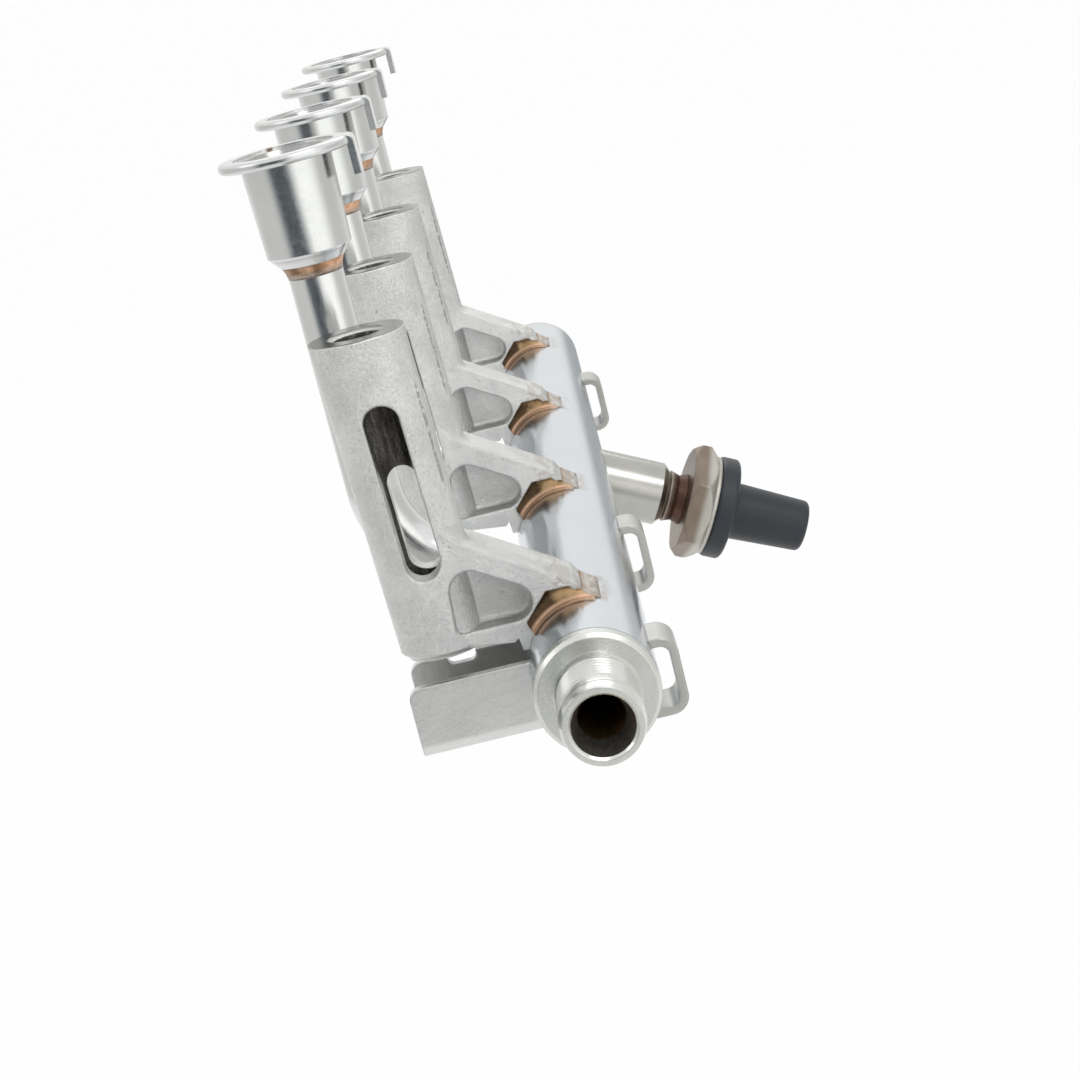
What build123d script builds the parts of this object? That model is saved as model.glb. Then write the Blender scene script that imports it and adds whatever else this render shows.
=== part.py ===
from build123d import *
import math
import os

# Fuel rail for a four cylinder engine. Millimetres.
# Origin: centre of the collar face at the inlet end, on the rail axis.
# +Y runs along the rail away from the inlet, +Z points along the bosses
# towards the cup mouths, +X points to the side with the sensor port.

# Rail tube and its ends
tube_r = 12.0
tube_wall = 3.0
tube_bore_r = tube_r - tube_wall
collar_length = 3.6
collar_chamfer = 0.8
tube_end_y = 325.0
plug_length = 4.0
plug_spigot_length = 6.0
plug_chamfer = 1.2
braze_gap = 0.05

# Inlet fitting, male thread M16x1.5
thread_r = 8.0
thread_end_y = -17.4
thread_nose_r = 7.45
nose_chamfer_length = 2.2
inlet_spigot_length = 8.0
inlet_mouth_r = 6.4
inlet_mouth_depth = 3.2
inlet_bore_r = 4.1
inlet_cone_length = 3.4
inlet_lip_chamfer = 0.5

# Stations along the rail
station_count = 4
station_pitch = 88.0
post_y = 30.7
cup_offset_y = 23.8
cup_y = post_y + cup_offset_y

# Bracket post: boss. Its outside leans, its bore doesn't.
boss_x = -28.8
boss_top_z = 71.0
boss_bottom_z = 7.2
boss_top_r = 9.4
boss_bottom_r = 9.2
boss_lean = 1.7
boss_foot_chamfer = 0.8
boss_bore_r = 4.7
boss_bore_chamfer = 0.8
slot_width = 6.9
slot_shift_x = 0.55
slot_rim = 0.35
front_slot_bottom_z = 22.9
front_slot_top_z = 58.1
rear_slot_bottom_z = 21.7
rear_slot_top_z = 43.2

# Bracket post: arm and saddle
arm_front_y = 23.1
arm_thickness = 14.2
arm_top_end_x = 0.1
arm_top_rise = 3.6
arm_top_slope = 0.631
arm_foot_x = 2.4
arm_heel_reach = 1.6
arm_heel_z = 6.4
arm_heel_step = 0.9
saddle_lip = 1.2
saddle_lip_z = 4.4
arm_fillet = 3.0
pocket_foot_reach = 6.5
pocket_foot_rise = 4.8
pocket_foot_r = 1.6
pocket_head_reach = 9.2
pocket_head_rise = 11.4
pocket_head_r = 3.9
pocket_toe_reach = 0.2
pocket_toe_rise = 7.0
pocket_toe_r = 3.8
pocket_depth = 5.4
pocket_rim = 0.35
pocket_floor_r = 1.2
pocket_wall_set_in = 0.7
scoop_heel_angle = 51.6
scoop_foot_angle = 47.8
scoop_foot_rise = 2.3
scoop_shoulder_x = -5.6
scoop_rim = 0.6
scoop_corner_r = 0.5
scoop_depth = 3.0
scoop_reach = 5.5
saddle_braze_foot = 2.1
saddle_bead = 0.5
saddle_run_width = 2.2
saddle_run_rise = 1.8

# Injector cup
cup_x = -35.3
cup_top_z = 105.8
cup_flange_r = 13.3
cup_flange_thickness = 2.0
cup_flange_edge = 0.85
cup_top_r = 9.15
cup_bottom_r = 8.55
cup_shoulder_z = 85.7
cup_bottom_z = 83.3
cup_bottom_face_r = 6.5
cup_bore_r = 6.5
cup_bore_floor_z = 90.0
cup_mouth_r = 8.0
cup_mouth_cone_length = 2.6
cup_step_r = 10.2
cup_step_depth = 0.5
cup_passage_r = 3.0
cup_socket_depth = 3.2
cup_tab_thickness = 1.5
cup_tab_length = 7.8
cup_tab_width = 7.0
cup_tab_reach = 0.8

# Drop tube from the cup to the rail
drop_r = 5.55
drop_bore_r = 3.6
drop_bend_r = 20.7
drop_bend_angle = 55.0
drop_hole_r = 3.6
cup_braze_length = 2.6
cup_braze_width = 0.85
rail_braze_length = 1.8
rail_braze_width = 1.8

# Channel bracket of sheet metal
channel_sheet = 2.0
channel_front_y = 19.6
channel_back_y = 38.0
channel_left_x = -36.0
channel_top_z = 2.9
channel_bottom_z = -11.4
channel_bend_r = 2.6
channel_corner_r = 2.4
channel_notch_x = -25.3
channel_notch_width = 5.8
channel_notch_bottom_z = 0.9
channel_notch_r = 1.4

# Harness loops
loop_ys = (11.0, 94.0, 260.0)
loop_width = 10.6
loop_sheet = 1.7
loop_right_x = 16.5
loop_top_z = 4.4
loop_bottom_z = -11.1
loop_corner_r = 3.6

# Sensor port
port_y = 176.7
port_angle = -27.0
port_hole_r = 3.0
port_stub_r = 8.0
port_stub_end = 28.2
port_stub_chamfer = 2.2
port_stub_bore_r = 4.5
port_neck_r = 5.8
port_neck_flare = 0.8
port_neck_end = 32.6
port_hex_sides = 6
port_hex_across_flats = 26.0
port_hex_end = 39.8
port_hex_inner_chamfer = 1.8
port_hex_outer_chamfer = 2.4
port_washer_length = 0.8
port_socket_r = 5.6
plug_flange_r = 13.0
plug_flange_end = 44.8
plug_flange_edge = 1.1
plug_stem_root_r = 7.3
plug_stem_tip_r = 6.5
plug_stem_end = 64.8
plug_stem_edge = 1.4
plug_root_r = 1.6
plug_peg_clearance = 0.15
plug_peg_gap = 1.5

os.makedirs("parts", exist_ok=True)


def save(part, name):
    part.label = name
    export_step(part, "parts/" + name + ".step")


def save_at_stations(part, name):
    for i in range(station_count):
        place = Location((0, i * station_pitch, 0))
        save(part.moved(place), name + "_" + str(i + 1))


# Path of a drop tube: straight down from the cup, one bend, then straight at the rail axis.
bend = math.radians(drop_bend_angle)
bend_end_x = cup_x + drop_bend_r * (1 - math.cos(bend))
bend_end_z = -bend_end_x / math.tan(bend)
bend_start_z = bend_end_z + drop_bend_r * math.sin(bend)
drop_heading = Vector(math.sin(bend), 0, -math.cos(bend))
drop_reach = -bend_end_x / math.sin(bend)
socket_top_z = cup_bottom_z + cup_socket_depth


def drop_path(y):
    with BuildLine() as path:
        down = Line((cup_x, y, socket_top_z), (cup_x, y, bend_start_z))
        turn_middle = (
            cup_x + drop_bend_r * (1 - math.cos(bend / 2)),
            y,
            bend_start_z - drop_bend_r * math.sin(bend / 2),
        )
        turn = ThreePointArc(down @ 1, turn_middle, (bend_end_x, y, bend_end_z))
        Line(turn @ 1, (0, y, 0))
    return path


# Rail tube with a hole under each drop tube and one under the sensor port
with BuildPart() as rail_tube:
    with BuildSketch(Plane.XZ.offset(-collar_length)):
        Circle(tube_r)
        Circle(tube_bore_r, mode=Mode.SUBTRACT)
    extrude(amount=-(tube_end_y - collar_length))
    for i in range(station_count):
        hole_y = cup_y + i * station_pitch
        hole_plane = Plane(origin=(0, hole_y, 0), z_dir=-drop_heading)
        with BuildSketch(hole_plane):
            Circle(drop_hole_r)
        extrude(amount=2 * tube_r, mode=Mode.SUBTRACT)
    port_dir = Vector(math.cos(math.radians(port_angle)), 0, math.sin(math.radians(port_angle)))
    port_plane = Plane(origin=(0, port_y, 0), x_dir=(0, 1, 0), z_dir=port_dir)
    with BuildSketch(port_plane):
        Circle(port_hole_r)
    extrude(amount=2 * tube_r, mode=Mode.SUBTRACT)
save(rail_tube.part, "rail_tube")

# Inlet fitting: collar, threaded stub with a seat cone, and a spigot inside the tube
inlet_profile_plane = Plane(origin=(0, 0, 0), x_dir=(1, 0, 0), z_dir=(0, 0, -1))
spigot_r = tube_bore_r - braze_gap
with BuildPart() as inlet_fitting:
    with BuildSketch(Plane.XY):
        with BuildLine():
            Polyline(
                (inlet_mouth_r, thread_end_y),
                (thread_nose_r, thread_end_y),
                (thread_r, thread_end_y + nose_chamfer_length),
                (thread_r, 0),
                (tube_r - collar_chamfer, 0),
                (tube_r, collar_chamfer),
                (tube_r, collar_length),
                (spigot_r, collar_length),
                (spigot_r, collar_length + inlet_spigot_length),
                (inlet_bore_r, collar_length + inlet_spigot_length),
                (inlet_bore_r, thread_end_y + inlet_mouth_depth + inlet_cone_length),
                (inlet_mouth_r - inlet_lip_chamfer, thread_end_y + inlet_mouth_depth),
                (inlet_mouth_r - inlet_lip_chamfer, thread_end_y + inlet_lip_chamfer),
                close=True,
            )
        make_face()
    revolve(axis=Axis.Y)
save(inlet_fitting.part, "inlet_fitting")

# End plug at the far end
with BuildPart() as end_plug:
    with BuildSketch(Plane.XY):
        with BuildLine():
            Polyline(
                (0, tube_end_y - plug_spigot_length),
                (spigot_r, tube_end_y - plug_spigot_length),
                (spigot_r, tube_end_y),
                (tube_r, tube_end_y),
                (tube_r, tube_end_y + plug_length - plug_chamfer),
                (tube_r - plug_chamfer, tube_end_y + plug_length),
                (0, tube_end_y + plug_length),
                close=True,
            )
        make_face()
    revolve(axis=Axis.Y)
save(end_plug.part, "end_plug")

# Bracket post: leaning boss with bore and slots, arm with pocket, saddle on the tube
lean = math.radians(boss_lean)
boss_side = Vector(math.cos(lean), 0, math.sin(lean))
boss_up = Vector(-math.sin(lean), 0, math.cos(lean))
boss_plane = Plane(origin=(boss_x, post_y, boss_top_z), x_dir=boss_side, z_dir=boss_side.cross(boss_up))
boss_axis = Axis((boss_x, post_y, boss_top_z), boss_up)
boss_height = boss_top_z - boss_bottom_z
boss_spare = 2 * boss_top_r * math.sin(lean)
slot_edge_reach = (boss_bore_r + min(boss_top_r, boss_bottom_r)) / 2
arm_plane = Plane.XZ.offset(-arm_front_y)
arm_top_end_z = tube_r + arm_top_rise
line_z_at_boss = arm_top_end_z + arm_top_slope * (arm_top_end_x - boss_x)
arm_foot_z = math.sqrt(tube_r**2 - arm_foot_x**2)
end_lean = (arm_foot_x - arm_top_end_x) / (arm_top_end_z - arm_foot_z)


def boss_profile(set_in):
    Polygon(
        (0, -boss_height - boss_spare),
        (boss_bottom_r - set_in, -boss_height - boss_spare),
        (boss_top_r - set_in, boss_spare - set_in),
        (0, boss_spare - set_in),
        align=None,
    )


def boss_distance(edge):
    from_top = edge.position_at(0.5) - boss_axis.position
    return from_top.cross(boss_up).length


def slot_place(bottom_z, top_z):
    middle_z = (bottom_z + top_z) / 2
    middle_x = boss_x + slot_shift_x + (boss_top_z - middle_z) * math.tan(lean)
    return Locations((middle_x, middle_z))


def on_tube(angle, rise=0):
    turn = math.radians(angle)
    return (-(tube_r + rise) * math.sin(turn), (tube_r + rise) * math.cos(turn))


scoop_tip_x = arm_foot_x - scoop_rim
scoop_outer = [
    on_tube(scoop_heel_angle),
    on_tube(scoop_foot_angle, scoop_foot_rise),
    (scoop_shoulder_x, arm_top_end_z - scoop_rim),
]
with BuildSketch(arm_plane) as scoop_outline:
    Polygon(
        (0, 0),
        *scoop_outer,
        (arm_top_end_x - 2 * scoop_rim, arm_top_end_z - scoop_rim),
        (scoop_tip_x, math.sqrt(tube_r**2 - scoop_tip_x**2)),
        align=None,
    )
    fillet(scoop_outline.vertices().sort_by(Axis.X)[0], radius=scoop_corner_r)

with BuildPart() as bracket_post:
    with BuildSketch(boss_plane):
        boss_profile(0)
    revolve(axis=boss_axis)
    with BuildSketch(Plane.XY.offset(boss_bottom_z)):
        with Locations((boss_x, post_y)):
            Circle(2 * boss_top_r)
    extrude(amount=boss_height, mode=Mode.INTERSECT)
    foot_edge = bracket_post.faces().sort_by(Axis.Z)[0].edges()
    chamfer(foot_edge, length=boss_foot_chamfer)
    with BuildSketch(arm_plane):
        Polygon(
            (boss_x, boss_bottom_z + boss_foot_chamfer),
            (boss_x + boss_bottom_r, boss_bottom_z),
            (-tube_r - arm_heel_reach, arm_heel_z),
            (-tube_r - arm_heel_reach + arm_heel_step, arm_heel_z + arm_heel_step),
            (-math.sqrt((tube_r + saddle_lip) ** 2 - saddle_lip_z**2), saddle_lip_z),
            (0, saddle_lip_z),
            (arm_foot_x, arm_foot_z),
            (arm_top_end_x, arm_top_end_z),
            (boss_x, line_z_at_boss),
            align=None,
        )
    extrude(amount=-arm_thickness)
    crotch = bracket_post.edges().filter_by(GeomType.ELLIPSE).filter_by(
        lambda e: arm_top_end_z < e.center().Z < line_z_at_boss and e.center().X > boss_x
    )
    front_crease = bracket_post.edges().filter_by(
        lambda e: abs(e.center().Y - arm_front_y) < braze_gap
        and boss_x < e.center().X < boss_x + boss_bottom_r
        and e.geom_type != GeomType.LINE
        and e.length > boss_bottom_r
    )
    fillet(crotch + front_crease, radius=arm_fillet)
    with BuildSketch(arm_plane.offset(boss_top_r)):
        with Locations((boss_x + pocket_foot_reach, boss_bottom_z + pocket_foot_rise)):
            Circle(pocket_foot_r)
        with Locations((boss_x + pocket_head_reach, boss_bottom_z + pocket_head_rise)):
            Circle(pocket_head_r)
        with Locations((-tube_r - pocket_toe_reach, boss_bottom_z + pocket_toe_rise)):
            Circle(pocket_toe_r)
        make_hull()
    extrude(amount=-(pocket_depth + boss_top_r), mode=Mode.SUBTRACT)
    rim = bracket_post.edges(Select.LAST).filter_by(lambda e: e.bounding_box().max.Y < arm_front_y + braze_gap)
    floor = bracket_post.edges(Select.LAST).filter_by(
        lambda e: abs(e.center().Y - arm_front_y - pocket_depth) < braze_gap
    )
    fillet(floor, radius=pocket_floor_r)
    chamfer(rim, length=pocket_rim)
    extrude(scoop_outline.sketch, amount=-scoop_depth, mode=Mode.SUBTRACT)
    with BuildSketch(boss_plane):
        boss_profile(pocket_wall_set_in + boss_spare)
    revolve(axis=boss_axis)
    with BuildSketch(Plane.XY.offset(boss_top_z)):
        with Locations((boss_x, post_y)):
            Circle(boss_bore_r)
    extrude(amount=-boss_top_z, mode=Mode.SUBTRACT)
    with BuildSketch(Plane.XZ.offset(-post_y)):
        with slot_place(front_slot_bottom_z, front_slot_top_z):
            SlotOverall(front_slot_top_z - front_slot_bottom_z, slot_width, rotation=90 + boss_lean)
    extrude(amount=2 * boss_top_r, mode=Mode.SUBTRACT)
    rim = bracket_post.edges(Select.LAST).filter_by(lambda e: boss_distance(e) > slot_edge_reach)
    chamfer(rim, length=slot_rim)
    with BuildSketch(Plane.XZ.offset(-post_y)):
        with slot_place(rear_slot_bottom_z, rear_slot_top_z):
            SlotOverall(rear_slot_top_z - rear_slot_bottom_z, slot_width, rotation=90 + boss_lean)
    extrude(amount=-2 * boss_top_r, mode=Mode.SUBTRACT)
    rim = bracket_post.edges(Select.LAST).filter_by(lambda e: boss_distance(e) > slot_edge_reach)
    chamfer(rim, length=slot_rim)
    with BuildSketch(Plane.XZ):
        Circle(tube_r)
    extrude(amount=-2 * cup_y, mode=Mode.SUBTRACT)
    bore_rim = bracket_post.edges().filter_by(GeomType.CIRCLE).filter_by(
        lambda e: abs(e.center().Z - boss_top_z) < braze_gap and e.radius < boss_bore_r + braze_gap
    )
    chamfer(bore_rim, length=boss_bore_chamfer)
save_at_stations(bracket_post.part, "bracket_post")

# Copper meniscus in the scoop at the saddle, with a bead on the rail in front of the arm
# and a run along the end of the arm
run_top = (arm_foot_x - saddle_run_rise * end_lean, arm_foot_z + saddle_run_rise)
run_foot_x = arm_foot_x + saddle_run_width
run_foot_z = math.sqrt(tube_r**2 - run_foot_x**2)
foot_y = arm_front_y - saddle_braze_foot
back_y = arm_front_y + scoop_depth
with BuildPart() as saddle_braze:
    extrude(scoop_outline.sketch, amount=-scoop_depth)
    with BuildSketch(arm_plane):
        Polygon(
            (0, 0),
            *scoop_outer,
            (0, tube_r + scoop_reach),
            run_top,
            (arm_foot_x + saddle_run_width / 2, tube_r),
            align=None,
        )
    extrude(amount=saddle_braze_foot)
    with BuildSketch(Plane.XY):
        with BuildLine():
            Polyline(
                (0, foot_y),
                (tube_r + saddle_bead / 2, foot_y),
                (tube_r + saddle_bead, foot_y + saddle_bead),
                (tube_r + saddle_bead, foot_y + 2 * saddle_bead),
                (tube_r + scoop_reach / 2, arm_front_y + saddle_bead),
                (tube_r + scoop_reach, arm_front_y + scoop_depth / 2),
                (tube_r + scoop_reach, back_y),
                (0, back_y),
                close=True,
            )
        make_face()
    revolve(axis=Axis.Y, mode=Mode.INTERSECT)
    with BuildSketch(arm_plane):
        Polygon(
            (arm_foot_x, arm_foot_z),
            run_top,
            (run_foot_x, run_foot_z),
            (arm_foot_x, 0),
            align=None,
        )
    extrude(amount=-arm_thickness)
    with BuildSketch(Plane.XZ):
        Circle(tube_r)
    extrude(amount=-2 * cup_y, mode=Mode.SUBTRACT)
save_at_stations(saddle_braze.part, "saddle_braze")

# Injector cup: turned body with flange, mouth cone, bore, tube socket and an ear folded down
cup_plane = Plane(origin=(cup_x, cup_y, 0), x_dir=(1, 0, 0), z_dir=(0, -1, 0))
cup_axis = Axis((cup_x, cup_y, 0), (0, 0, 1))
with BuildPart() as injector_cup:
    with BuildSketch(cup_plane):
        Polygon(
            (drop_r + braze_gap, cup_bottom_z),
            (cup_bottom_face_r, cup_bottom_z),
            (cup_bottom_r, cup_shoulder_z),
            (cup_top_r, cup_top_z - cup_flange_thickness),
            (cup_flange_r, cup_top_z - cup_flange_thickness),
            (cup_flange_r, cup_top_z),
            (cup_step_r, cup_top_z),
            (cup_step_r, cup_top_z - cup_step_depth),
            (cup_mouth_r, cup_top_z - cup_step_depth),
            (cup_bore_r, cup_top_z - cup_step_depth - cup_mouth_cone_length),
            (cup_bore_r, cup_bore_floor_z),
            (cup_passage_r, cup_bore_floor_z),
            (cup_passage_r, socket_top_z),
            (drop_r + braze_gap, socket_top_z),
            align=None,
        )
    revolve(axis=cup_axis)
    rim = injector_cup.edges().filter_by(GeomType.CIRCLE).filter_by(
        lambda e: abs(e.radius - cup_flange_r) < braze_gap
    )
    fillet(rim, radius=cup_flange_edge)
    ear_outer_x = cup_flange_r + cup_tab_reach
    with BuildSketch(Plane.XZ.offset(-(cup_y - cup_tab_width / 2))) as ear:
        with BuildLine():
            Polyline(
                (cup_x + cup_step_r, cup_top_z),
                (cup_x + ear_outer_x, cup_top_z),
                (cup_x + ear_outer_x, cup_top_z - cup_tab_length),
                (cup_x + ear_outer_x - cup_tab_thickness, cup_top_z - cup_tab_length),
                (cup_x + ear_outer_x - cup_tab_thickness, cup_top_z - cup_tab_thickness),
                (cup_x + cup_step_r, cup_top_z - cup_tab_thickness),
                close=True,
            )
        make_face()
        top_corner = ear.vertices().sort_by(Axis.X)[-2:].sort_by(Axis.Y)[-1]
        fillet(top_corner, radius=cup_tab_thickness)
    extrude(amount=-cup_tab_width)
save_at_stations(injector_cup.part, "injector_cup")

# Drop tube: swept from the cup socket round its bend to the side of the rail
with BuildPart() as drop_tube:
    path = drop_path(cup_y)
    with BuildSketch(Plane.XY.offset(socket_top_z)):
        with Locations((cup_x, cup_y)):
            Circle(drop_r)
    sweep(path=path.line)
    with BuildSketch(Plane.XY.offset(socket_top_z)):
        with Locations((cup_x, cup_y)):
            Circle(drop_bore_r)
    sweep(path=path.line, mode=Mode.SUBTRACT)
    with BuildSketch(Plane.XZ):
        Circle(tube_r)
    extrude(amount=-2 * cup_y, mode=Mode.SUBTRACT)
save_at_stations(drop_tube.part, "drop_tube")

# Copper ring under the cup
with BuildPart() as cup_braze:
    with BuildSketch(cup_plane):
        Polygon(
            (drop_r, cup_bottom_z),
            (drop_r + cup_braze_width, cup_bottom_z),
            (drop_r + cup_braze_width / 3, cup_bottom_z - cup_braze_length / 2),
            (drop_r, cup_bottom_z - cup_braze_length),
            align=None,
        )
    revolve(axis=cup_axis)
save_at_stations(cup_braze.part, "cup_braze")

# Copper ring where the drop tube meets the rail
rail_joint_plane = Plane(origin=(0, cup_y, 0), x_dir=(0, 1, 0), z_dir=drop_heading.cross(Vector(0, 1, 0)))
rail_braze_r = drop_r + rail_braze_width
rail_braze_base = math.sqrt(tube_r**2 - rail_braze_r**2)
with BuildPart() as rail_braze:
    with BuildSketch(rail_joint_plane):
        Polygon(
            (drop_r, 0),
            (rail_braze_r, 0),
            (rail_braze_r, rail_braze_base),
            (drop_r, tube_r + rail_braze_length),
            align=None,
        )
    revolve(axis=Axis((0, cup_y, 0), -drop_heading))
    with BuildSketch(Plane.XZ):
        Circle(tube_r)
    extrude(amount=-2 * cup_y, mode=Mode.SUBTRACT)
save_at_stations(rail_braze.part, "rail_braze")

# Channel bracket: front wall, floor and notched back wall, coped round the rail
channel_mid_y = (channel_front_y + channel_back_y) / 2
with BuildPart() as channel_bracket:
    with BuildSketch(Plane.YZ.offset(channel_left_x)) as channel_section:
        with BuildLine():
            Polyline(
                (channel_front_y, channel_top_z),
                (channel_front_y, channel_bottom_z),
                (channel_back_y, channel_bottom_z),
                (channel_back_y, channel_top_z),
                (channel_back_y - channel_sheet, channel_top_z),
                (channel_back_y - channel_sheet, channel_bottom_z + channel_sheet),
                (channel_front_y + channel_sheet, channel_bottom_z + channel_sheet),
                (channel_front_y + channel_sheet, channel_top_z),
                close=True,
            )
        make_face()
        outer = channel_section.vertices().sort_by(Axis.Y)[:2]
        fillet(outer, radius=channel_bend_r)
        inner = channel_section.vertices().filter_by(
            lambda v: abs(v.Y - channel_bottom_z - channel_sheet) < braze_gap
        )
        fillet(inner, radius=channel_bend_r - channel_sheet)
    extrude(amount=-channel_left_x)
    corners = channel_bracket.edges().filter_by(Axis.Y).filter_by(
        lambda e: abs(e.center().X - channel_left_x) < braze_gap
        and abs(e.center().Z - channel_top_z) < braze_gap
    )
    fillet(corners, radius=channel_corner_r)
    with BuildSketch(Plane.XZ.offset(-channel_mid_y)) as notch:
        with Locations((channel_notch_x, channel_notch_bottom_z)):
            Rectangle(channel_notch_width, channel_bend_r + channel_top_z, align=(Align.CENTER, Align.MIN))
        fillet(notch.vertices().sort_by(Axis.Y)[:2], radius=channel_notch_r)
    extrude(amount=-channel_back_y, mode=Mode.SUBTRACT)
    with BuildSketch(Plane.XZ):
        Circle(tube_r)
    extrude(amount=-2 * channel_back_y, mode=Mode.SUBTRACT)
save(channel_bracket.part, "channel_bracket")

# Harness loops: a flat strap bent into a D and coped round the rail
for i, loop_y in enumerate(loop_ys):
    with BuildPart() as harness_loop:
        with BuildSketch(Plane.XZ.offset(-loop_y)) as strap:
            with Locations((loop_right_x / 2, (loop_top_z + loop_bottom_z) / 2)):
                RectangleRounded(loop_right_x, loop_top_z - loop_bottom_z, loop_corner_r)
                RectangleRounded(
                    loop_right_x - 2 * loop_sheet,
                    loop_top_z - loop_bottom_z - 2 * loop_sheet,
                    loop_corner_r - loop_sheet,
                    mode=Mode.SUBTRACT,
                )
        extrude(amount=-loop_width)
        with BuildSketch(Plane.XZ.offset(-loop_y)):
            Circle(tube_r)
            with Locations((-tube_r, 0)):
                Rectangle(2 * tube_r, 4 * tube_r)
        extrude(amount=-loop_width, mode=Mode.SUBTRACT)
    save(harness_loop.part, "harness_loop_" + str(i + 1))

# Sensor port: stub on the rail, braze neck, hexagon adapter and plastic plug on one axis
port_profile_plane = Plane(origin=(0, port_y, 0), x_dir=port_dir, z_dir=Vector(0, 1, 0).cross(port_dir).cross(port_dir))
port_axis = Axis((0, port_y, 0), port_dir)


def turned(profile):
    with BuildPart() as body:
        with BuildSketch(port_profile_plane):
            Polygon(*profile, align=None)
        revolve(axis=port_axis)
    return body


port_stub = turned(
    [
        (0, port_stub_bore_r),
        (0, port_stub_r),
        (port_stub_end - port_stub_chamfer, port_stub_r),
        (port_stub_end, port_stub_r - port_stub_chamfer),
        (port_stub_end, port_stub_bore_r),
    ]
)
with BuildPart() as port_stub_coped:
    add(port_stub.part)
    with BuildSketch(Plane.XZ.offset(-(port_y - 2 * tube_r))):
        Circle(tube_r)
    extrude(amount=-4 * tube_r, mode=Mode.SUBTRACT)
save(port_stub_coped.part, "port_stub")
port_neck = turned(
    [
        (port_stub_end, port_stub_bore_r),
        (port_stub_end, port_neck_r + port_neck_flare),
        ((port_stub_end + port_neck_end) / 2, port_neck_r),
        (port_neck_end, port_neck_r + port_neck_flare),
        (port_neck_end, port_stub_bore_r),
    ]
)
save(port_neck.part, "port_braze_neck")

hex_r = port_hex_across_flats / (2 * math.cos(math.pi / port_hex_sides))
washer_r = hex_r - port_hex_outer_chamfer
hex_plane = Plane(origin=port_axis.position + port_dir * port_neck_end, x_dir=(0, 1, 0), z_dir=port_dir)
with BuildPart() as port_adapter:
    with BuildSketch(hex_plane):
        RegularPolygon(hex_r, port_hex_sides, rotation=180 / port_hex_sides)
        Circle(port_socket_r, mode=Mode.SUBTRACT)
    extrude(amount=port_hex_end - port_neck_end)
    with BuildSketch(port_profile_plane):
        Polygon(
            (port_neck_end, port_stub_bore_r),
            (port_neck_end, hex_r - port_hex_inner_chamfer),
            (port_neck_end + port_hex_inner_chamfer, hex_r),
            (port_hex_end - port_washer_length - port_hex_outer_chamfer, hex_r),
            (port_hex_end - port_washer_length, washer_r),
            (port_hex_end, washer_r),
            (port_hex_end, port_stub_bore_r),
            align=None,
        )
    revolve(axis=port_axis, mode=Mode.INTERSECT)
save(port_adapter.part, "port_adapter")

peg_r = port_socket_r - plug_peg_clearance
with BuildPart() as dust_plug:
    add(
        turned(
            [
                (port_neck_end + plug_peg_gap, 0),
                (port_neck_end + plug_peg_gap, peg_r),
                (port_hex_end, peg_r),
                (port_hex_end, plug_flange_r),
                (plug_flange_end, plug_flange_r),
                (plug_flange_end, plug_stem_root_r),
                (plug_stem_end, plug_stem_tip_r),
                (plug_stem_end, 0),
            ]
        ).part
    )
    circles = dust_plug.edges().filter_by(GeomType.CIRCLE)
    fillet(circles.filter_by(lambda e: e.radius > plug_flange_r - braze_gap), radius=plug_flange_edge)
    circles = dust_plug.edges().filter_by(GeomType.CIRCLE)
    fillet(circles.filter_by(lambda e: abs(e.radius - plug_stem_root_r) < braze_gap), radius=plug_root_r)
    circles = dust_plug.edges().filter_by(GeomType.CIRCLE)
    fillet(circles.filter_by(lambda e: abs(e.radius - plug_stem_tip_r) < braze_gap), radius=plug_stem_edge)
save(dust_plug.part, "dust_plug")
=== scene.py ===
import math
from functools import cached_property

import bpy
from mathutils import Matrix, Vector


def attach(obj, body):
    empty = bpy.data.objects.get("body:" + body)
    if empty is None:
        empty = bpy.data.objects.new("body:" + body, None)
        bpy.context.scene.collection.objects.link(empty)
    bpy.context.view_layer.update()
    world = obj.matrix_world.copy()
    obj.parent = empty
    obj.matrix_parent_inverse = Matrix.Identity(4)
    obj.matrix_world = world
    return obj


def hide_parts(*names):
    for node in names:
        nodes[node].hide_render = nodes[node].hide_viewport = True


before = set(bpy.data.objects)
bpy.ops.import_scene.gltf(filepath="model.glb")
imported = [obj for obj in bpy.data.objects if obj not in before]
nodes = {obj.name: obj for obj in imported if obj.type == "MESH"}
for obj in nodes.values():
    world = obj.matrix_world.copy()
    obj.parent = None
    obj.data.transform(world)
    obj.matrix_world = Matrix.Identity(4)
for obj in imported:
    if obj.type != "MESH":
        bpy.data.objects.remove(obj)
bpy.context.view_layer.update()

MM = 0.001

# sizes shared with the solids, in millimetres
PITCH = 88.0
ARM_FRONT_Y = 23.1
ARM_THICKNESS = 14.2
POST_Y = 30.7
BOSS_X = -28.8
BOSS_TOP_Z = 71.0
BOSS_BORE_R = 4.7
CUP_X = -35.3
CUP_Y = 54.5
CUP_BOTTOM_Z = 83.3
CUP_TOP_Z = 105.8
BRAZE_BEAD_Y = 21.7
PORT_ANGLE = -27.0

# inlet fitting, in millimetres
COLLAR_R = 12.0
COLLAR_LENGTH = 3.6
COLLAR_CHAMFER = 0.8
SPIGOT_R = 8.95
SPIGOT_LENGTH = 8.0
THREAD_R = 8.0
THREAD_PITCH = 1.5
THREAD_DEPTH = 0.5
THREAD_RUN_OUT = 1.4
THREAD_END_Y = -17.4
NOSE_R = 7.45
NOSE_LENGTH = 2.2
MOUTH_R = 6.4
MOUTH_LIP = 0.5
MOUTH_DEPTH = 3.2
CONE_LENGTH = 3.4
BORE_R = 4.1
THREAD_ROWS_PER_TURN = 10
INLET_COLUMNS = 160
SHARP_EDGE_DEGREES = 32

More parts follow.
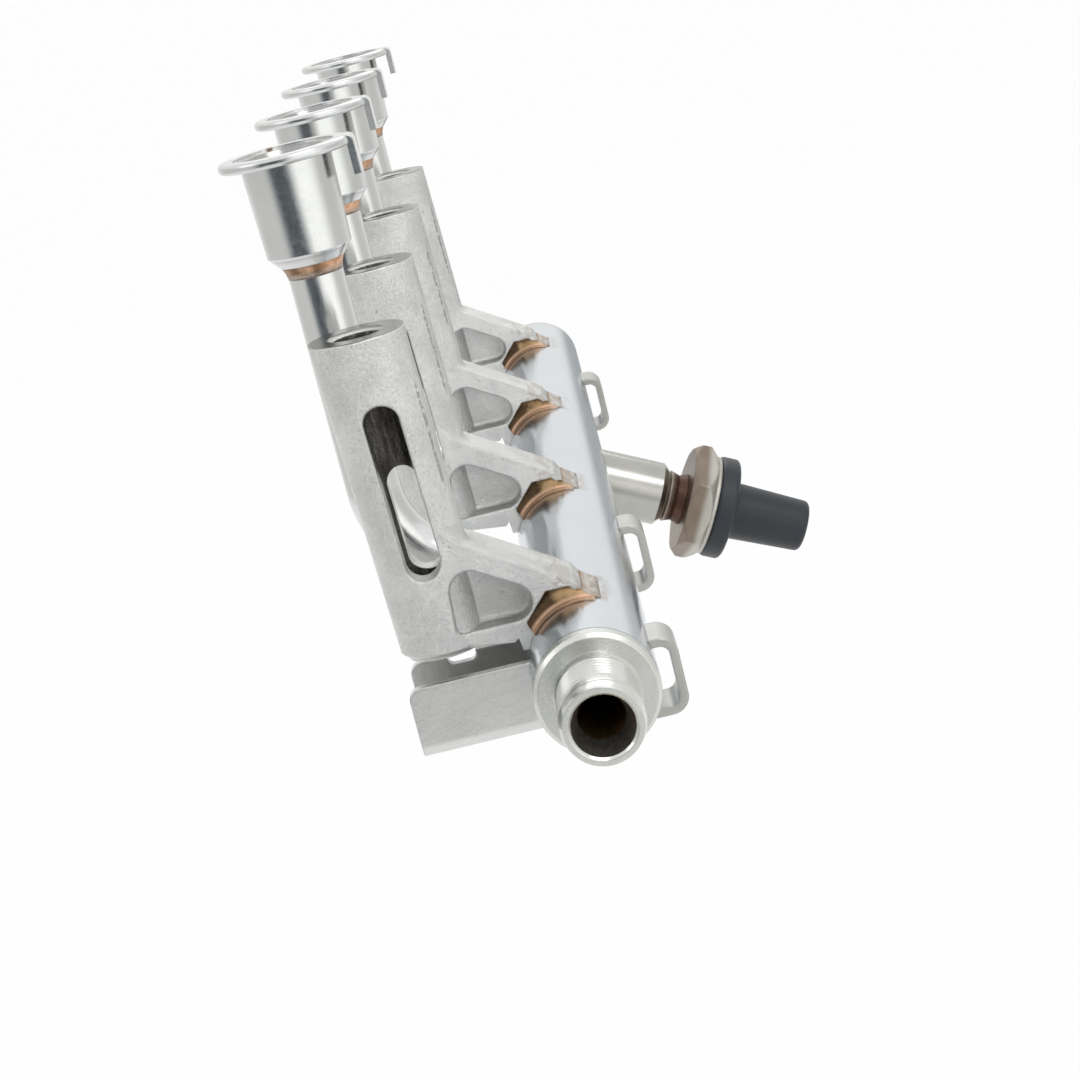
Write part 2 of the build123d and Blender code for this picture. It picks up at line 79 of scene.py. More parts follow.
# marks on the surfaces, in millimetres; a pair says where a fade begins and where it ends
SADDLE_STAIN_X = (-8.0, -2.0)
# a brownish stain with painted shade on the tube beside each arm
TUBE_STAIN_AND_SHADE_X = (7.5, 4.5)
TUBE_STAIN_AND_SHADE_Z = (-1.0, 3.0)
TUBE_STAIN_AND_SHADE_PAST_ARM = 3.0
# a thin upright line of painted shade on the boss's right side, where a gap lies in shade
GAP_SHADE_BEFORE_BOSS = 4.0
GAP_SHADE_EDGE = (0.75, 0.25)
GAP_SHADE_FROM_BOSS_X = (6.0, 7.5)
GAP_SHADE_BOTTOM_Z = (38.0, 41.0)
GAP_SHADE_TOP_Z = (61.0, 58.0)
EAR_GAP_INNER = (8.2, 9.2)
EAR_GAP_OUTER = (12.6, 12.2)
EAR_GAP_BOTTOM_Z = (93.0, 95.5)
EAR_GAP_TOP_Z = (CUP_TOP_Z - 1.4, CUP_TOP_Z - 2.2)
CUP_MOUTH_R = (8.3, 8.0)
CUP_FLOOR_Z = (84.0, 86.0)
RIM_SPECK_X = -38.8
RIM_SPECK_Y = 64.1
RIM_SPECK_R = (0.85, 0.4)
RIM_SPECK_Z = (CUP_TOP_Z - 1.0, CUP_TOP_Z - 0.4)
UPPER_RINGS_Z = (60.0, 61.0)
JOINT_LINE_EDGE = (0.28, 0.10)
NECK_BURNT = (28.0, 30.0)
ADAPTER_CLEAN = (35.4, 37.4)
COLLAR_FACE_Y = (-1.2, -0.3)
COLLAR_FACE_R = (THREAD_R + 0.3, THREAD_R + 0.6)
FACE_INNER_R = (THREAD_R + 0.4, THREAD_R + 0.8)
FACE_OUTER_R = (COLLAR_R - 0.6, COLLAR_R - 1.2)
MOUTH_INSIDE_R = (MOUTH_R - 0.2, MOUTH_R - 0.4)
MOUTH_INSIDE_Y = (THREAD_END_Y + 0.2, THREAD_END_Y + 0.8)
DEEP_BORE_R = (BORE_R + 0.5, BORE_R + 0.2)
DEEP_BORE_Y = (THREAD_END_Y + 5.2, THREAD_END_Y + 6.2)
BORE_BROWN_Z = (0.5, -3.6)

# share of the radius in X, from the edge of a painted reflection wedge to its middle
WEDGE_EDGE = (0.55, 0.05)

WHITE = (1.0, 1.0, 1.0)
JOINT_COLOR = (0.10, 0.10, 0.12)


# shader helpers
class Graph:
    """Adds and links the nodes of one shader, with places in millimetres in the rail's frame."""

    def __init__(self, tree):
        self.tree = tree

    def add(self, kind, **settings):
        node = self.tree.nodes.new(kind)
        for key, value in settings.items():
            setattr(node, key, value)
        return node

    def put(self, socket, value):
        """Link a socket to another, or give it a fixed value or colour."""
        if isinstance(value, bpy.types.NodeSocket):
            self.tree.links.new(value, socket)
        elif socket.type == "RGBA":
            socket.default_value = (*value, 1.0)
        else:
            socket.default_value = value

    def fill(self, node, **values):
        """Set the named inputs of a node and return its first output."""
        for name, value in values.items():
            self.put(node.inputs[name], value)
        return node.outputs[0]

    def math(self, operation, *values):
        node = self.add("ShaderNodeMath", operation=operation)
        for socket, value in zip(node.inputs, values):
            self.put(socket, value)
        return node.outputs[0]

    def product(self, first, *others):
        for other in others:
            first = self.math("MULTIPLY", first, other)
        return first

    def length(self, a, b):
        return self.math("SQRT", self.math("ADD", self.product(a, a), self.product(b, b)))

    def band(self, value, low, high, low_out=0.0, high_out=1.0):
        """Smooth step from low_out to high_out while the value goes from low to high."""
        node = self.add("ShaderNodeMapRange", interpolation_type="SMOOTHSTEP")
        for socket, setting in zip(node.inputs, (value, low, high, low_out, high_out)):
            self.put(socket, setting)
        return node.outputs[0]

    def between(self, noise, low_out, high_out):
        """A value that follows a noise from low_out to high_out."""
        return self.band(noise, 0.3, 0.7, low_out, high_out)

    def mix(self, factor, a, b):
        """Blend of two colours, which the node has as inputs 6 and 7 and output 2."""
        node = self.add("ShaderNodeMix", data_type="RGBA")
        self.put(node.inputs[0], factor)
        self.put(node.inputs[6], a)
        self.put(node.inputs[7], b)
        return node.outputs[2]

    def tint(self, tone, color, amount, *masks):
        """The tone with that amount of another colour where all masks are 1."""
        return self.mix(self.product(*masks, amount), tone, color)

    def noise(self, scale, detail=3.0, rough=0.5, stretch=None):
        vector = self.point
        if stretch:
            vector = self.fill(self.add("ShaderNodeMapping"), Vector=vector, Scale=stretch)
        node = self.add("ShaderNodeTexNoise")
        return self.fill(node, Vector=vector, Scale=scale, Detail=detail, Roughness=rough)

    def bump(self, height, distance, strength, normal):
        """Relief on top of another normal; the distance is in metres."""
        node = self.add("ShaderNodeBump")
        return self.fill(node, Height=height, Distance=distance, Strength=strength, Normal=normal)

    def rounded(self, radius):
        """Normal of edges that look rounded; the radius is in metres."""
        return self.fill(self.add("ShaderNodeBevel", samples=4), Radius=radius)

    def emission(self, color, strength):
        return self.fill(self.add("ShaderNodeEmission"), Color=color, Strength=strength)

    @cached_property
    def point(self):
        """Place on the object."""
        coords = self.add("ShaderNodeTexCoord")
        scaled = self.add("ShaderNodeVectorMath", operation="SCALE")
        self.put(scaled.inputs[0], coords.outputs["Object"])
        return self.fill(scaled, Scale=1.0 / MM)

    @cached_property
    def split(self):
        node = self.add("ShaderNodeSeparateXYZ")
        self.put(node.inputs[0], self.point)
        return node.outputs

    x = property(lambda self: self.split[0])
    y = property(lambda self: self.split[1])
    z = property(lambda self: self.split[2])


class Finish(Graph):
    """The shader of one surface finish."""

    def __init__(self, name, metallic=1.0):
        self.material = bpy.data.materials.new(name)
        self.material.use_nodes = True
        super().__init__(self.material.node_tree)
        self.shader = self.tree.nodes["Principled BSDF"]
        self.put(self.shader.inputs["Metallic"], metallic)

    def complete(self, color, roughness, normal):
        """Set the surface and return the material."""
        self.put(self.shader.inputs["Base Color"], color)
        self.put(self.shader.inputs["Roughness"], roughness)
        self.put(self.shader.inputs["Normal"], normal)
        return self.material


def from_station(g, first_y):
    """Distance in Y from the nearest station."""
    shifted = g.math("SUBTRACT", g.y, first_y - PITCH / 2)
    around = g.math("FLOORED_MODULO", shifted, PITCH)
    return g.math("SUBTRACT", around, PITCH / 2)


def along_port(g):
    """Distance from the rail's axis along the sensor port."""
    turn = math.radians(PORT_ANGLE)
    return g.math("ADD", g.product(g.x, math.cos(turn)), g.product(g.z, math.sin(turn)))


def joint_line(g):
    """1 in the thin dark line where the collar meets the tube."""
    away = g.math("ABSOLUTE", g.math("SUBTRACT", g.y, COLLAR_LENGTH))
    return g.band(away, *JOINT_LINE_EDGE)


# finishes
def cast_steel():
    """Plated casting: satin, with a fine grain that glints, painted shade in the bores, a line of
    painted shade on the boss's right side and stains by the saddle.
    """
    g = Finish("cast_steel")
    broad = g.noise(0.10)
    grain = g.noise(1.9, 4.0, 0.75)
    pits = g.noise(1.1, 2.0, 0.4)
    tone = g.mix(g.band(broad, 0.35, 0.65), (0.64, 0.645, 0.63), (0.73, 0.735, 0.72))
    tone = g.tint(tone, (0.90, 0.90, 0.87), 0.5, g.band(grain, 0.56, 0.70))
    tone = g.tint(tone, (0.34, 0.34, 0.32), 0.5, g.band(grain, 0.46, 0.32))
    tone = g.tint(tone, (0.24, 0.23, 0.21), 0.4, g.band(pits, 0.70, 0.76))
    blotch = g.band(g.noise(0.5, 3.0, 0.6, stretch=(1.0, 0.25, 1.0)), 0.45, 0.60)
    tone = g.tint(tone, (0.40, 0.31, 0.23), 0.4, g.band(g.x, *SADDLE_STAIN_X), blotch)

    across = g.math("SUBTRACT", g.x, BOSS_X)
    along = from_station(g, POST_Y)
    # painted shade: a thin dark upright line on the boss's right side, standing in for a shaded gap;
    # the bump also dents it
    painted_gap_shade = g.product(
        g.band(g.math("ABSOLUTE", g.math("ADD", along, GAP_SHADE_BEFORE_BOSS)), *GAP_SHADE_EDGE),
        g.band(across, *GAP_SHADE_FROM_BOSS_X),
        g.band(g.z, *GAP_SHADE_BOTTOM_Z),
        g.band(g.z, *GAP_SHADE_TOP_Z),
        g.band(pits, 0.40, 0.52),
    )
    tone = g.tint(tone, (0.20, 0.20, 0.19), 0.6, painted_gap_shade)

    # painted shade inside the boss's bore, with lighter painted streaks of reflection along it
    streaks = g.noise(0.9, 3.0, 0.6, stretch=(1.0, 1.0, 0.12))
    painted_bore_shade_and_light = g.mix(g.band(streaks, 0.35, 0.65), (0.10, 0.095, 0.09), (0.30, 0.285, 0.265))
    in_bore = g.band(g.length(across, along), BOSS_BORE_R + 0.12, BOSS_BORE_R + 0.04)
    tone = g.mix(in_bore, tone, painted_bore_shade_and_light)
    top = g.band(g.z, BOSS_TOP_Z - 0.25, BOSS_TOP_Z - 0.08)
    tone = g.tint(tone, (0.27, 0.27, 0.25), 0.9, top)

    below_top = g.band(g.z, BOSS_TOP_Z - 0.1, BOSS_TOP_Z - 0.4)
    relief = g.math("ADD", g.product(grain, below_top), g.product(painted_gap_shade, 0.8))
    waves = g.bump(broad, 0.0004, 0.25, g.rounded(0.0005))
    return g.complete(tone, g.between(grain, 0.28, 0.18), g.bump(relief, 0.0003, 0.95, waves))


def turned_steel(name="turned_steel", low=(0.62, 0.63, 0.62), high=(0.74, 0.75, 0.745)):
    """Turned and plated, with a shadow beside the cup's ear, painted shade inside the cup and one rust
    speck.
    """
    g = Finish(name)
    outward = g.math("SUBTRACT", g.x, CUP_X)
    ear_gap = g.product(
        g.band(outward, *EAR_GAP_INNER),
        g.band(outward, *EAR_GAP_OUTER),
        g.band(g.z, *EAR_GAP_BOTTOM_Z),
        g.band(g.z, *EAR_GAP_TOP_Z),
    )
    tone = g.mix(g.noise(0.12, 2.0), low, high)
    tone = g.tint(tone, (0.10, 0.095, 0.09), 0.8, ear_gap)
    from_axis = g.length(outward, from_station(g, CUP_Y))
    # painted shade inside the cup's mouth, above its floor
    in_mouth = g.product(g.band(from_axis, *CUP_MOUTH_R), g.band(g.z, *CUP_FLOOR_Z))
    tone = g.tint(tone, (0.14, 0.135, 0.125), 0.55, in_mouth)
    speck_x = g.math("SUBTRACT", g.x, RIM_SPECK_X)
    speck_y = g.product(g.math("SUBTRACT", g.y, RIM_SPECK_Y), 0.4)
    speck = g.product(g.band(g.length(speck_x, speck_y), *RIM_SPECK_R), g.band(g.z, *RIM_SPECK_Z))
    tone = g.tint(tone, (0.16, 0.09, 0.045), 0.9, speck)
    rough = g.between(g.noise(1.6, 3.0, 0.6), 0.15, 0.25)
    rings = g.noise(1.0, 4.0, 0.7, stretch=(0.25, 0.25, 9.0))
    return g.complete(tone, rough, g.bump(rings, 0.00003, 0.35, g.rounded(0.0003)))


def drawn_steel():
    """Drawn tube with fine streaks along it."""
    g = Finish("drawn_steel")
    tone = g.mix(g.noise(0.10, 2.0), (0.66, 0.665, 0.66), (0.76, 0.765, 0.765))
    fine = g.noise(1.2, 3.0, 0.6, stretch=(3.0, 3.0, 0.3))
    return g.complete(tone, g.between(fine, 0.15, 0.26), g.bump(fine, 0.00003, 0.3, g.rounded(0.0003)))


def tube_steel():
    """Polished rail tube, stained and with painted shade beside each arm, with a dark line at the
    collar.
    """
    g = Finish("tube_steel")
    fine = g.noise(0.8, 4.0, 0.6, stretch=(4.0, 0.15, 4.0))
    # beside each arm, on the tube's upper side towards the arms: a brownish stain with painted shade
    from_arm = g.math("ABSOLUTE", from_station(g, ARM_FRONT_Y + ARM_THICKNESS / 2))
    near_arm = g.band(from_arm, ARM_THICKNESS / 2 + TUBE_STAIN_AND_SHADE_PAST_ARM, ARM_THICKNESS / 2 - 0.5)
    on_side = g.product(g.band(g.x, *TUBE_STAIN_AND_SHADE_X), g.band(g.z, *TUBE_STAIN_AND_SHADE_Z))
    blotch = g.band(g.noise(0.45, 3.0, 0.6, stretch=(1.0, 0.25, 1.0)), 0.40, 0.60)
    tone = g.mix(g.noise(0.05), (0.64, 0.68, 0.73), (0.72, 0.755, 0.80))
    tone = g.tint(tone, (0.42, 0.36, 0.31), 0.7, near_arm, on_side, blotch)
    tone = g.mix(joint_line(g), tone, JOINT_COLOR)
    return g.complete(tone, g.between(fine, 0.13, 0.22), g.bump(fine, 0.00002, 0.3, g.rounded(0.0003)))


def sheet_steel(name="sheet_steel", low=(0.66, 0.665, 0.65), high=(0.75, 0.755, 0.74)):
    """Bent sheet with a satin plating."""
    g = Finish(name)
    broad = g.noise(0.14)
    grain = g.noise(1.8, 3.0, 0.6)
    waves = g.bump(broad, 0.0004, 0.3, g.rounded(0.0007))
    tone = g.mix(broad, low, high)
    return g.complete(tone, g.between(grain, 0.28, 0.40), g.bump(grain, 0.00008, 0.35, waves))


def copper_braze():
    """Copper rings under the cups and at the drop tubes, thinning out below the cups."""
    g = Finish("copper_braze")
    patches = g.band(g.noise(0.30, 3.0, 0.6), 0.40, 0.62)
    fine = g.noise(1.5, 3.0, 0.6)
    # painted light: the rings' right side is painted in bright, lit copper and their left side in dull
    # copper; below 60 mm the rings keep mostly the dull copper
    painted_lit_side = g.product(g.band(g.x, CUP_X - 4.0, CUP_X + 3.0), g.band(g.z, *UPPER_RINGS_Z, 0.25, 1.0))
    dull = g.mix(patches, (0.20, 0.12, 0.07), (0.34, 0.23, 0.15))
    bright = g.mix(patches, (0.46, 0.26, 0.15), (0.74, 0.46, 0.30))
    tone = g.mix(painted_lit_side, dull, bright)
    wander = g.product(g.math("SUBTRACT", fine, 0.5), 2.4)
    below = g.band(g.math("ADD", g.z, wander), CUP_BOTTOM_Z - 1.2, CUP_BOTTOM_Z - 1.9)
    tone = g.tint(tone, (0.42, 0.35, 0.30), 0.8, below, g.band(g.z, *UPPER_RINGS_Z))
    return g.complete(tone, g.between(fine, 0.24, 0.40), g.bump(fine, 0.0002, 0.4, g.rounded(0.0004)))


def saddle_copper():
    """Braze at the saddles: dull brown in the scoop, bright copper on the bead by the rail."""
    g = Finish("saddle_copper")
    broad = g.noise(0.28, 3.0, 0.6)
    fine = g.noise(1.5, 3.0, 0.6)
    tone = g.mix(g.band(broad, 0.38, 0.62), (0.22, 0.14, 0.07), (0.40, 0.27, 0.145))
    wander = g.product(g.math("SUBTRACT", broad, 0.5), 5.0)
    shadow = g.band(g.math("ADD", g.x, wander), -3.2, -5.0)
    tone = g.tint(tone, (0.05, 0.032, 0.02), 0.9, shadow)
    bead = g.band(g.math("ABSOLUTE", from_station(g, BRAZE_BEAD_Y)), 0.95, 0.45)
    tone = g.tint(tone, (0.56, 0.36, 0.24), 0.85, bead)
    patches = g.band(g.noise(0.6, 3.0, 0.6, stretch=(1.0, 0.3, 1.0)), 0.42, 0.56)
    end_tone = g.mix(patches, (0.60, 0.58, 0.55), (0.44, 0.37, 0.31))
    off_bead = g.math("SUBTRACT", 1.0, g.product(bead, 0.8))
    tone = g.mix(g.product(g.band(g.x, 1.0, 2.6), off_bead), tone, end_tone)
    return g.complete(tone, g.between(fine, 0.32, 0.48), g.bump(broad, 0.0005, 0.5, g.rounded(0.0006)))


def dark_braze():
    """Neck of the port: steel near the stub, burnt dark brown near the hexagon."""
    g = Finish("dark_braze")
    broad = g.noise(0.35, 3.0, 0.6)
    burnt = g.mix(broad, (0.045, 0.026, 0.020), (0.15, 0.085, 0.06))
    tone = g.mix(g.band(along_port(g), *NECK_BURNT), (0.42, 0.36, 0.31), burnt)
    return g.complete(tone, 0.45, g.bump(broad, 0.0004, 0.5, g.rounded(0.0006)))


def adapter_steel():
    """Hexagon: stained taupe beside the braze, cleaner steel towards the plug."""
    g = Finish("adapter_steel")
    broad = g.noise(0.22, 3.0, 0.6)
    stained = g.mix(broad, (0.21, 0.165, 0.13), (0.32, 0.265, 0.215))
    cleaner = g.mix(broad, (0.46, 0.44, 0.39), (0.60, 0.585, 0.54))
    tone = g.mix(g.band(along_port(g), *ADAPTER_CLEAN), stained, cleaner)
    return g.complete(tone, 0.36, g.bump(broad, 0.0003, 0.3, g.rounded(0.0008)))


def black_plastic():
    """Moulded plug with a fine satin grain."""
    g = Finish("black_plastic", metallic=0.0)
    fine = g.noise(2.0, 3.0, 0.6)
    tone = g.mix(fine, (0.010, 0.015, 0.021), (0.019, 0.025, 0.034))
    return g.complete(tone, 0.42, g.bump(fine, 0.00008, 0.4, g.rounded(0.0008)))


def threaded_steel():
    """Turned steel of the inlet, with two darker wedges of painted reflection on the collar's face and
    a bore of painted shade, lightening to a painted brown glow at its bottom.
    """
    g = Finish("threaded_steel")
    radius = g.length(g.x, g.z)
    tone = g.mix(g.noise(0.15, 2.0), (0.62, 0.63, 0.60), (0.73, 0.74, 0.71))
    # painted reflection: two darker wedges, top and bottom, on the collar's turned face
    wedge = g.band(g.math("ABSOLUTE", g.math("DIVIDE", g.x, radius)), *WEDGE_EDGE)
    on_face = g.product(g.band(radius, *FACE_INNER_R), g.band(radius, *FACE_OUTER_R))
    tone = g.tint(tone, (0.34, 0.335, 0.30), 0.45, wedge, on_face)
    tone = g.mix(joint_line(g), tone, JOINT_COLOR)
    inside = g.product(g.band(radius, *MOUTH_INSIDE_R), g.band(g.y, *MOUTH_INSIDE_Y))
    tone = g.mix(inside, tone, (0.62, 0.60, 0.54))
    # painted shade deep in the bore, lightening to a painted brown glow on its lower side
    deep = g.product(g.band(radius, *DEEP_BORE_R), g.band(g.y, *DEEP_BORE_Y))
    painted_bore_shade_and_light = g.mix(g.band(g.z, *BORE_BROWN_Z), (0.05, 0.05, 0.055), (0.60, 0.36, 0.18))
    tone = g.mix(deep, tone, painted_bore_shade_and_light)
    face = g.product(g.band(g.y, *COLLAR_FACE_Y), g.band(radius, *COLLAR_FACE_R))
    rough = g.between(g.noise(1.4, 3.0, 0.6), 0.16, 0.26)
    rough = g.math("ADD", rough, g.product(face, 0.08))
    rough = g.math("ADD", rough, g.product(inside, 0.16))
    rings = g.noise(1.0, 4.0, 0.7, stretch=(0.25, 9.0, 0.25))
    return g.complete(tone, rough, g.bump(rings, 0.00002, 0.3, g.rounded(0.0003)))


cups_and_plug = turned_steel()
braze_rings = copper_braze()
finish_of = {
    "rail_tube": tube_steel(),
    "inlet_fitting": threaded_steel(),
    "end_plug": cups_and_plug,
    "bracket_post": cast_steel(),
    "injector_cup": cups_and_plug,
    "drop_tube": drawn_steel(),
    "cup_braze": braze_rings,
    "rail_braze": braze_rings,
    "saddle_braze": saddle_copper(),
    "channel_bracket": sheet_steel(),
    "harness_loop": sheet_steel("strap_steel", (0.46, 0.455, 0.43), (0.58, 0.575, 0.545)),
    "port_stub": turned_steel("port_steel", (0.40, 0.40, 0.375), (0.50, 0.495, 0.465)),
    "port_braze_neck": dark_braze(),
    "port_adapter": adapter_steel(),
    "dust_plug": black_plastic(),
}

for name, piece in nodes.items():
    kind = name.rstrip("_0123456789")
    piece.data.materials.clear()
    piece.data.materials.append(finish_of[kind])
    for polygon in piece.data.polygons:
        polygon.material_index = 0


# threaded inlet, with the real turns of its thread
def clamp(value):
    return min(1.0, max(0.0, value))


def groove(y, angle):
    """Depth of the thread's groove in millimetres; it runs out at the collar and at the nose."""
    phase = y / THREAD_PITCH + angle / (2 * math.pi)
    from_collar = clamp(-y / THREAD_RUN_OUT - 0.5)
    to_nose = clamp((y - THREAD_END_Y - NOSE_LENGTH) / (4 * THREAD_RUN_OUT))
    return THREAD_DEPTH * from_collar * to_nose * (0.5 - 0.5 * math.cos(2 * math.pi * phase))


def inlet_rows():
    """Closed profile as (place along Y, radius), from the mouth's edge over the outside to the bore."""
    thread_start = THREAD_END_Y + NOSE_LENGTH
    steps = round(-thread_start / THREAD_PITCH * THREAD_ROWS_PER_TURN)
    spigot_end = COLLAR_LENGTH + SPIGOT_LENGTH
    seat_r = MOUTH_R - MOUTH_LIP
    nose = [(THREAD_END_Y, MOUTH_R), (THREAD_END_Y, NOSE_R)]
    thread = [(thread_start * (1 - i / steps), THREAD_R) for i in range(steps + 1)]
    collar = [(0.0, COLLAR_R - COLLAR_CHAMFER), (COLLAR_CHAMFER, COLLAR_R), (COLLAR_LENGTH, COLLAR_R)]
    spigot = [(COLLAR_LENGTH, SPIGOT_R), (spigot_end, SPIGOT_R), (spigot_end, BORE_R)]
    cone = [(THREAD_END_Y + MOUTH_DEPTH + CONE_LENGTH, BORE_R), (THREAD_END_Y + MOUTH_DEPTH, seat_r)]
    lip = [(THREAD_END_Y + MOUTH_LIP, seat_r)]
    return nose + thread + collar + spigot + cone + lip


def make_inlet():
    """Revolved profile, with the groove cut into the rows that carry the thread."""
    rows = inlet_rows()
    points = []
    for y, r in rows:
        for j in range(INLET_COLUMNS):
            angle = 2 * math.pi * j / INLET_COLUMNS
            here = r - groove(y, angle) if r == THREAD_R else r
            points.append((here * math.cos(angle) * MM, y * MM, here * math.sin(angle) * MM))
    faces = []
    for i in range(len(rows)):
        first = i * INLET_COLUMNS
        second = (i + 1) % len(rows) * INLET_COLUMNS
        for j in range(INLET_COLUMNS):
            k = (j + 1) % INLET_COLUMNS
            faces.append((first + j, second + j, second + k, first + k))
    mesh = bpy.data.meshes.new("inlet_with_thread")
    mesh.from_pydata(points, [], faces)
    mesh.shade_smooth()
    mesh.set_sharp_from_angle(angle=math.radians(SHARP_EDGE_DEGREES))
    made = bpy.data.objects.new("inlet_with_thread", mesh)
    bpy.context.scene.collection.objects.link(made)
    return made


inlet = make_inlet()
inlet.data.materials.append(finish_of["inlet_fitting"])
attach(inlet, "root")
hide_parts("inlet_fitting")


# studio, in metres
FLOOR_Z = -0.16
FLOOR_SIZE = 400.0
FLOOR_COLOR = (0.95, 0.95, 0.95)
FLOOR_GLOW_SHARE = 0.94
WORLD_FOR_DIFFUSE = 0.80
RING_R = 0.72
RING_Y = 0.10
RING_TOP_Z = 0.34
RING_SIDES = 96
LIGHTS_AIM = Vector((0.0, 0.12, 0.03))

# where the ring's level changes, in degrees from the camera's side towards +X, heights in millimetres
TO_DARK = (-56.0, -34.0)
TO_BRIGHT = (-8.0, 20.0)
TO_SIDE = (48.0, 84.0)
TO_BACK = (110.0, 150.0)
TO_LOW_BACK = (150.0, 165.0)
LOW_BACK_Z = (-60.0, -110.0)
LOW_BACK_SHARE = 0.6

# brightness and colour of the ring and of the card in front
DARK_LEVEL = 0.10
SIDE_LEVEL = 0.72
BRIGHT_LEVEL = 1.35
BACK_LEVEL = 0.92
FRONT_LEVEL = 0.85
TINT_LEVELS = (0.1, 0.6)
COOL = (0.84, 0.97, 1.10)
WARM = (1.0, 1.0, 0.98)
FRONT_CARD_COLOR = (1.0, 1.0, 0.985)


def seen_ray(g):
    """1 for camera, glossy and transmission rays."""
    path = g.add("ShaderNodeLightPath").outputs
    seen = g.math("MAXIMUM", path["Is Camera Ray"], path["Is Glossy Ray"])
    return g.math("MAXIMUM", seen, path["Is Transmission Ray"])


def white_world():
    """White where it is seen, and a little weaker as light."""
    world = bpy.data.worlds.new("studio")
    world.use_nodes = True
    g = Graph(world.node_tree)
    strength = g.band(seen_ray(g), 0.0, 1.0, WORLD_FOR_DIFFUSE, 1.0)
    g.fill(g.tree.nodes["Background"], Color=WHITE, Strength=strength)
    return world


def studio_shade(name):
    """A material with nothing but its output, and the graph that fills it."""
    made = bpy.data.materials.new(name)
    made.use_nodes = True
    g = Graph(made.node_tree)
    g.tree.nodes.clear()
    g.surface = g.add("ShaderNodeOutputMaterial").inputs["Surface"]
    return made, g


def floor_shade():
    """Pale and matt, so that it keeps the object's shadow, and nearly white where it is seen."""
    made, g = studio_shade("floor_shade")
    diffuse = g.fill(g.add("ShaderNodeBsdfDiffuse"), Color=FLOOR_COLOR)
    blend = g.add("ShaderNodeMixShader")
    share = g.product(seen_ray(g), FLOOR_GLOW_SHARE)
    for socket, value in zip(blend.inputs, (share, diffuse, g.emission(WHITE, 1.0))):
        g.put(socket, value)
    g.put(g.surface, blend.outputs[0])
    return made


def ring_shade():
    """Emission that changes with the direction seen from the object, like cards round it."""
    made, g = studio_shade("ring_shade")
    azimuth = g.product(g.math("ARCTAN2", g.x, g.product(g.y, -1.0)), 180.0 / math.pi)
    level = g.band(azimuth, *TO_DARK, SIDE_LEVEL, DARK_LEVEL)
    level = g.math("ADD", level, g.band(azimuth, *TO_BRIGHT, 0.0, BRIGHT_LEVEL - DARK_LEVEL))
    level = g.math("SUBTRACT", level, g.band(azimuth, *TO_SIDE, 0.0, BRIGHT_LEVEL - SIDE_LEVEL))
    to_back = g.band(g.math("ABSOLUTE", azimuth), *TO_BACK)
    level = g.math("ADD", level, g.product(to_back, BACK_LEVEL - SIDE_LEVEL))
    low_back = g.product(g.band(azimuth, *TO_LOW_BACK), g.band(g.z, *LOW_BACK_Z))
    level = g.math("SUBTRACT", level, g.product(low_back, LOW_BACK_SHARE * (BACK_LEVEL - DARK_LEVEL)))
    color = g.mix(g.band(level, *TINT_LEVELS), COOL, WARM)
    g.put(g.surface, g.emission(color, level))
    return made


def front_card_shade():
    made, g = studio_shade("grey_card")
    g.put(g.surface, g.emission(FRONT_CARD_COLOR, FRONT_LEVEL))
    return made


def flat_card(name, size, place, shade):
    """A level rectangle that faces up."""
    bpy.ops.mesh.primitive_plane_add(size=1.0, location=place)
    made = bpy.context.active_object
    made.name = name
    made.scale = (*size, 1.0)
    made.data.materials.append(shade)
    return made


def ring_card():
    """An upright band round the object, from the floor to over its top."""
    height = RING_TOP_Z - FLOOR_Z
    bpy.ops.mesh.primitive_cylinder_add(
        vertices=RING_SIDES, radius=RING_R, depth=height, end_fill_type="NOTHING",
        location=(0.0, RING_Y, FLOOR_Z + height / 2 + MM),
    )
    made = bpy.context.active_object
    made.name = "ring_card"
    made.data.materials.append(ring_shade())
    return made


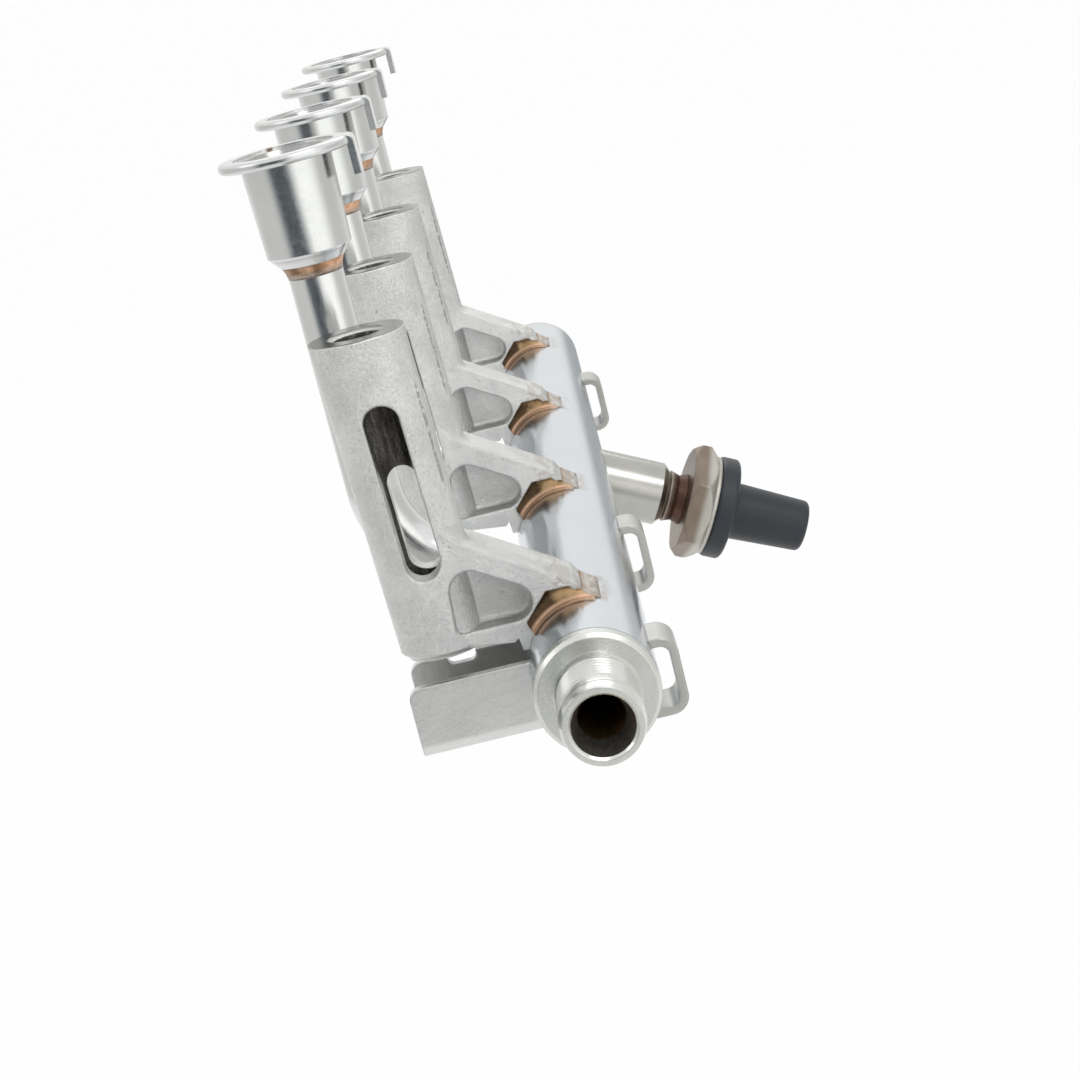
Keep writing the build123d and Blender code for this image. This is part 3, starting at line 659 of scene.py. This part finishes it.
def lamp(name, place, size, power):
    """A rectangular lamp that points at the middle of the object."""
    data = bpy.data.lights.new(name, "AREA")
    data.shape = "RECTANGLE"
    data.size, data.size_y = size
    data.energy = power
    made = bpy.data.objects.new(name, data)
    bpy.context.scene.collection.objects.link(made)
    made.location = place
    made.rotation_mode = "QUATERNION"
    made.rotation_quaternion = (Vector(place) - LIGHTS_AIM).to_track_quat("Z", "Y")


bpy.context.scene.world = white_world()
flat_card("floor", (FLOOR_SIZE, FLOOR_SIZE), (0.0, 0.2, FLOOR_Z), floor_shade())
ring = ring_card()
front = flat_card("card_front_floor", (1.2, 0.6), (0.0, -0.52, FLOOR_Z + 2 * MM), front_card_shade())
for card in (ring, front):
    card.visible_camera = False
    card.visible_shadow = False
    card.visible_diffuse = False
    card.visible_transmission = False

lamp("key", place=(0.35, -0.35, 0.75), size=(0.45, 0.45), power=1.6)
lamp("fill", place=(-0.7, -0.2, 0.35), size=(0.4, 0.6), power=0.6)
lamp("rim", place=(0.1, 0.9, 0.6), size=(0.6, 0.3), power=0.8)

# camera, with its place in millimetres and two directions of the picture in the rail's frame
FOCAL_PIXELS = 2409.3
PHOTO_PIXELS = 1080.0
SENSOR_WIDTH = 36.0
CAMERA_PLACE = Vector((9.7, -420.9, 145.4))
picture_right = Vector((0.9714, -0.0333, -0.2350))
picture_down = Vector((-0.2354, -0.2608, -0.9362))
forward = picture_right.cross(picture_down).normalized()
picture_down = forward.cross(picture_right).normalized()
picture_right.normalize()

camera_data = bpy.data.cameras.new("camera")
camera_data.sensor_width = SENSOR_WIDTH
camera_data.sensor_fit = "HORIZONTAL"
camera_data.lens = FOCAL_PIXELS * SENSOR_WIDTH / PHOTO_PIXELS
camera_data.clip_start = 0.01
camera_data.clip_end = 500.0
camera = bpy.data.objects.new("camera", camera_data)
bpy.context.scene.collection.objects.link(camera)
turn = Matrix((picture_right, -picture_down, -forward)).transposed()
camera.matrix_world = Matrix.Translation(CAMERA_PLACE * MM) @ turn.to_4x4()
bpy.context.scene.camera = camera
bpy.context.scene.view_settings.view_transform = "Standard"
